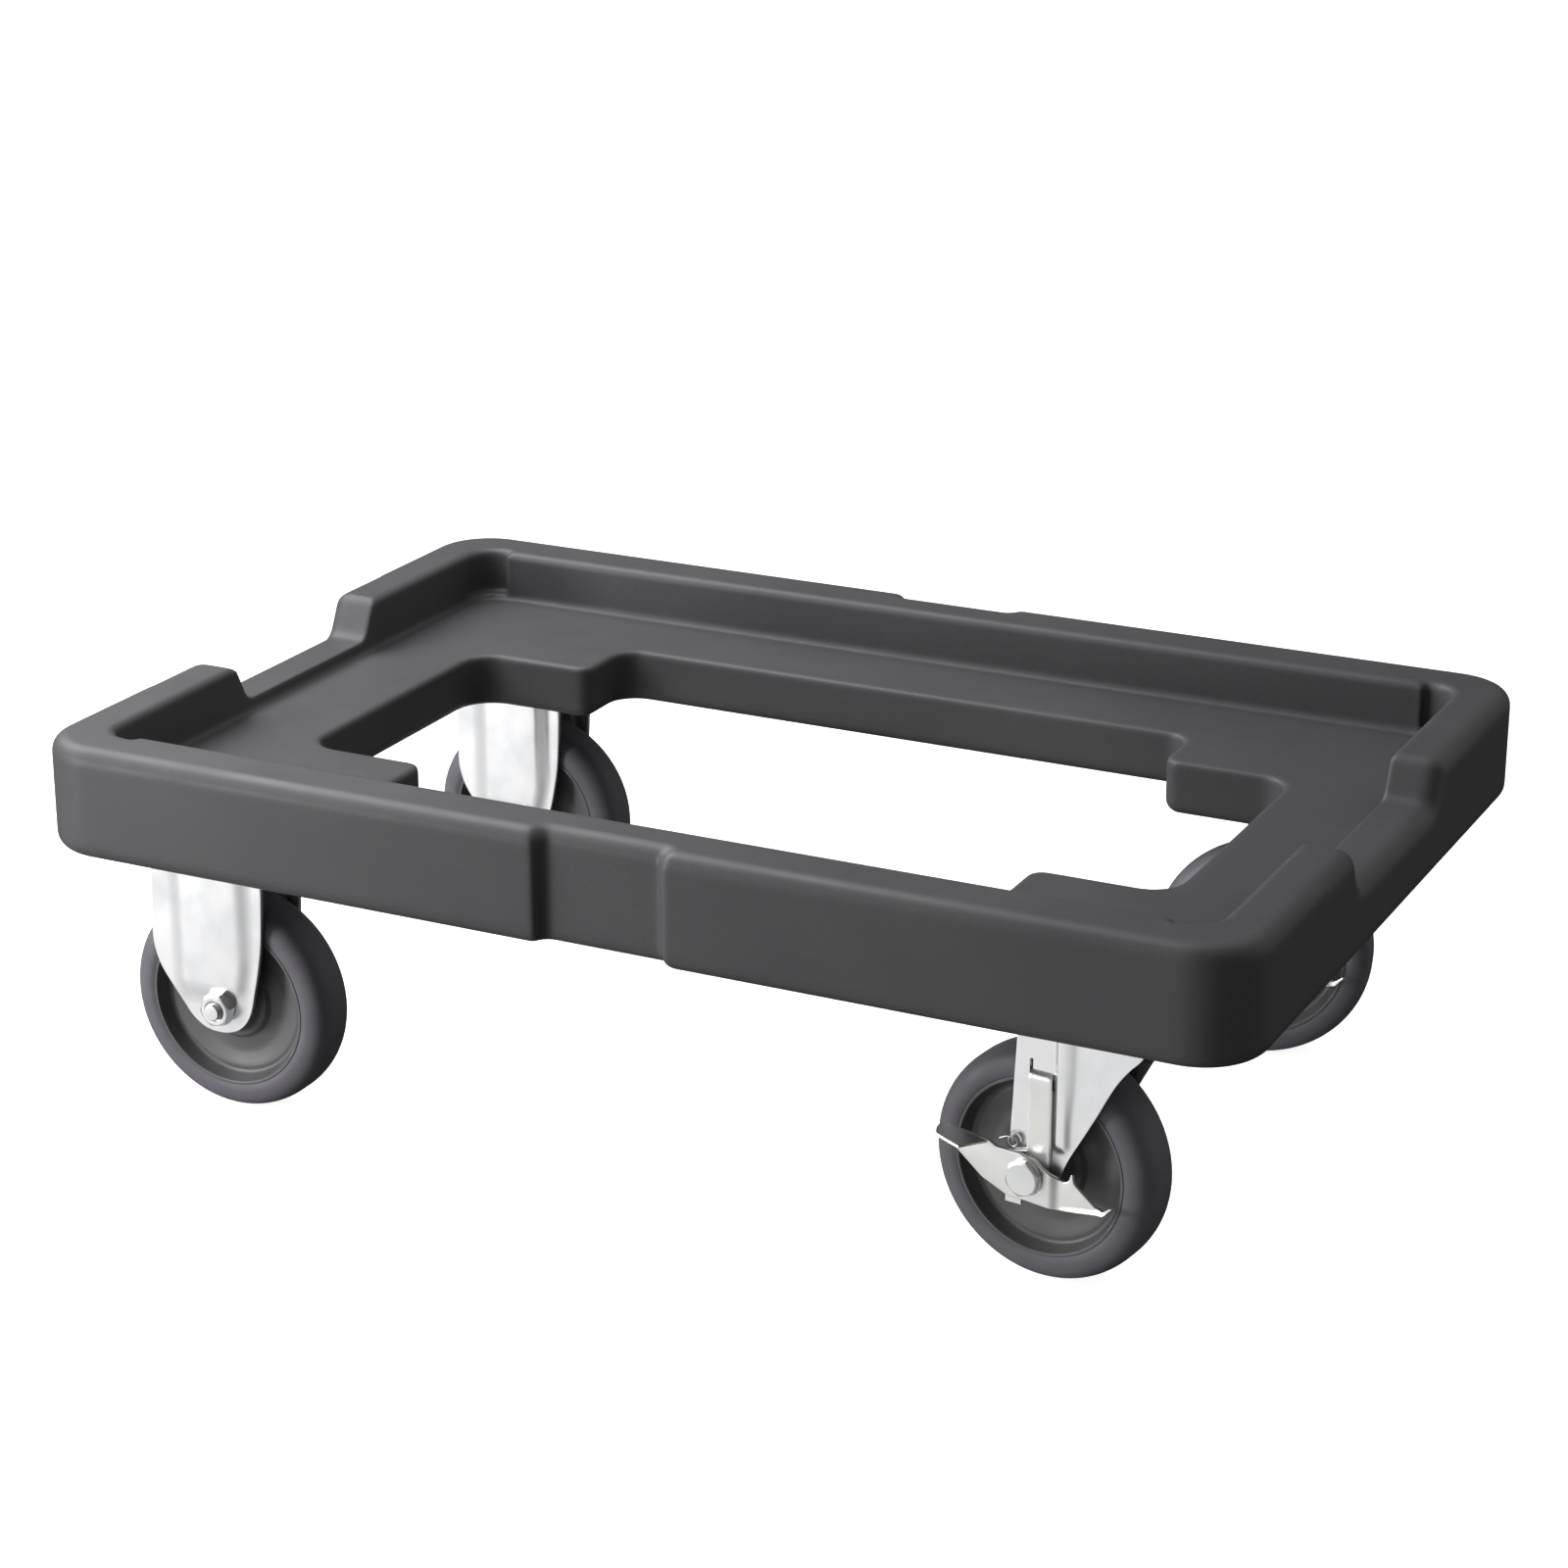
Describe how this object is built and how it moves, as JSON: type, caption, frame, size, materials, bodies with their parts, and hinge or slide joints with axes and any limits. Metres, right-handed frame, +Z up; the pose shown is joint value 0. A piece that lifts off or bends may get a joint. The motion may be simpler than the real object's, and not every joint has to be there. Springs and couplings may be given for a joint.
{
  "type": "furniture dolly",
  "caption": "Low moulded plastic dolly: rectangular rimmed deck with a central opening, rigid casters at one end and foot-braked swivel casters at the other.",
  "frame": {"origin": "on the floor under the centre of the deck frame", "axes": "+X along the length from the rigid casters to the swivel casters, +Y to the left across the width, +Z up"},
  "size_m": [0.688, 0.46, 0.2175],
  "materials": {
    "moulded_frame": "dark grey moulded polyethylene, satin, very fine grain",
    "zinc_steel": "bright zinc-plated pressed steel sheet",
    "fasteners": "zinc-plated bolts, nuts and kingpins",
    "tread": "grey thermoplastic rubber tread, matte",
    "wheel_core": "grey polypropylene core, satin",
    "roller_cage": "dark plastic roller cage",
    "bearing_steel": "ground bearing steel"
  },
  "bodies": {
    "base": {"frame": "moulded_frame", "mount_bolt_fixed_right_1": "fasteners", "mount_bolt_fixed_right_2": "fasteners", "mount_bolt_fixed_right_3": "fasteners", "mount_bolt_fixed_right_4": "fasteners", "mount_bolt_fixed_left_1": "fasteners", "mount_bolt_fixed_left_2": "fasteners", "mount_bolt_fixed_left_3": "fasteners", "mount_bolt_fixed_left_4": "fasteners", "mount_bolt_swivel_right_1": "fasteners", "mount_bolt_swivel_right_2": "fasteners", "mount_bolt_swivel_right_3": "fasteners", "mount_bolt_swivel_right_4": "fasteners", "mount_bolt_swivel_left_1": "fasteners", "mount_bolt_swivel_left_2": "fasteners", "mount_bolt_swivel_left_3": "fasteners", "mount_bolt_swivel_left_4": "fasteners", "fixed_fork_right": "zinc_steel", "fixed_axle_bolt_right": "fasteners", "fixed_axle_nut_right": "fasteners", "fixed_axle_sleeve_right": "bearing_steel", "fixed_fork_left": "zinc_steel", "fixed_axle_bolt_left": "fasteners", "fixed_axle_nut_left": "fasteners", "fixed_axle_sleeve_left": "bearing_steel", "swivel_top_plate_right": "zinc_steel", "swivel_kingpin_right": "fasteners", "swivel_top_plate_left": "zinc_steel", "swivel_kingpin_left": "fasteners"},
    "fixed_wheel_right": {"fixed_tyre_right": "tread", "fixed_wheel_core_right": "wheel_core", "fixed_roller_cage_right": "roller_cage"},
    "fixed_wheel_left": {"fixed_tyre_left": "tread", "fixed_wheel_core_left": "wheel_core", "fixed_roller_cage_left": "roller_cage"},
    "swivel_right": {"swivel_fork_right": "zinc_steel", "swivel_axle_bolt_right": "fasteners", "swivel_axle_nut_right": "fasteners", "swivel_axle_sleeve_right": "bearing_steel", "swivel_upper_ball_ring_right": "bearing_steel", "swivel_lower_ball_ring_right": "bearing_steel", "brake_spring_right": "bearing_steel"},
    "swivel_wheel_right": {"swivel_tyre_right": "tread", "swivel_wheel_core_right": "wheel_core", "swivel_roller_cage_right": "roller_cage"},
    "pedal_right": {"brake_pedal_right": "zinc_steel"},
    "strap_right": {"brake_strap_right": "zinc_steel"},
    "swivel_left": {"swivel_fork_left": "zinc_steel", "swivel_axle_bolt_left": "fasteners", "swivel_axle_nut_left": "fasteners", "swivel_axle_sleeve_left": "bearing_steel", "swivel_upper_ball_ring_left": "bearing_steel", "swivel_lower_ball_ring_left": "bearing_steel", "brake_spring_left": "bearing_steel"},
    "swivel_wheel_left": {"swivel_tyre_left": "tread", "swivel_wheel_core_left": "wheel_core", "swivel_roller_cage_left": "roller_cage"},
    "pedal_left": {"brake_pedal_left": "zinc_steel"},
    "strap_left": {"brake_strap_left": "zinc_steel"}
  },
  "joints": [
    {"name": "fixed_wheel_spin_right", "type": "hinge", "parent": "base", "child": "fixed_wheel_right", "pos_m": [-0.2585, -0.163, 0.0625], "axis": [0, 1, 0], "continuous": true},
    {"name": "fixed_wheel_spin_left", "type": "hinge", "parent": "base", "child": "fixed_wheel_left", "pos_m": [-0.2585, 0.163, 0.0625], "axis": [0, 1, 0], "continuous": true},
    {"name": "swivel_right", "type": "hinge", "parent": "base", "child": "swivel_right", "pos_m": [0.2585, -0.163, 0.14], "axis": [0, 0, 1], "continuous": true},
    {"name": "swivel_wheel_spin_right", "type": "hinge", "parent": "swivel_right", "child": "swivel_wheel_right", "pos_m": [0.22182, -0.15817, 0.0625], "axis": [0.1305, 0.9914, 0], "continuous": true},
    {"name": "brake_pedal_right", "type": "hinge", "parent": "swivel_right", "child": "pedal_right", "pos_m": [0.22182, -0.15817, 0.0625], "axis": [-0.1305, -0.9914, 0], "range_deg": [0, 25]},
    {"name": "brake_strap_right", "type": "slide", "parent": "swivel_right", "child": "strap_right", "axis": [0, 0, -1], "range_m": [0, 0.003]},
    {"name": "swivel_left", "type": "hinge", "parent": "base", "child": "swivel_left", "pos_m": [0.2585, 0.163, 0.14], "axis": [0, 0, 1], "continuous": true},
    {"name": "swivel_wheel_spin_left", "type": "hinge", "parent": "swivel_left", "child": "swivel_wheel_left", "pos_m": [0.22268, 0.15374, 0.0625], "axis": [-0.2504, 0.9681, 0], "continuous": true},
    {"name": "brake_pedal_left", "type": "hinge", "parent": "swivel_left", "child": "pedal_left", "pos_m": [0.22268, 0.15374, 0.0625], "axis": [0.2504, -0.9681, 0], "range_deg": [0, 25]},
    {"name": "brake_strap_left", "type": "slide", "parent": "swivel_left", "child": "strap_left", "axis": [0, 0, -1], "range_m": [0, 0.003]}
  ],
  "couplings": [
    {"joint": "brake_strap_right", "follows": "brake_pedal_right", "m_per_rad": 0.00687},
    {"joint": "brake_strap_left", "follows": "brake_pedal_left", "m_per_rad": 0.00687}
  ]
}
